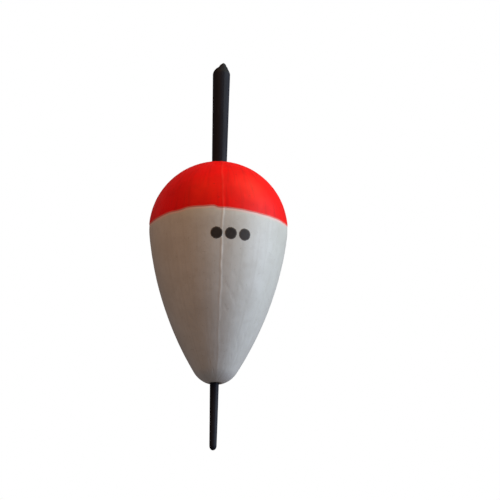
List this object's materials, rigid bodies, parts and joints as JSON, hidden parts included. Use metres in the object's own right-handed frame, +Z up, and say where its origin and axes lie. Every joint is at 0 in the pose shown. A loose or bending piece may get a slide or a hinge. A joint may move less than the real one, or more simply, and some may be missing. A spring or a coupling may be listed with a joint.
{
  "type": "bobber float",
  "caption": "Pear-shaped foam fishing float, red dome over a white body, with a tapered black peg that wedges the line in its bore.",
  "frame": {"origin": "centre of the bore's lower mouth, on the plane of the small flat end round it", "axes": "+Z up along the bore, from the narrow white end to the red dome; -Y is the front, where the printed dots are; +X is to the right as seen from the front"},
  "size_m": [0.028, 0.028, 0.0809],
  "materials": {
    "foam": "matte",
    "white_paint": "satin",
    "red_paint": "satin",
    "print_ink": "matte",
    "peg_plastic": "satin"
  },
  "bodies": {
    "float_body": {"foam_body": "foam", "white_coat": "white_paint", "red_coat": "red_paint", "size_dot_1": "print_ink", "size_dot_2": "print_ink", "size_dot_3": "print_ink"},
    "line_peg": {"peg": "peg_plastic"}
  },
  "joints": [
    {"name": "peg_slide", "type": "slide", "parent": "float_body", "child": "line_peg", "axis": [0, 0, 1], "range_m": [0, 0.06]}
  ]
}
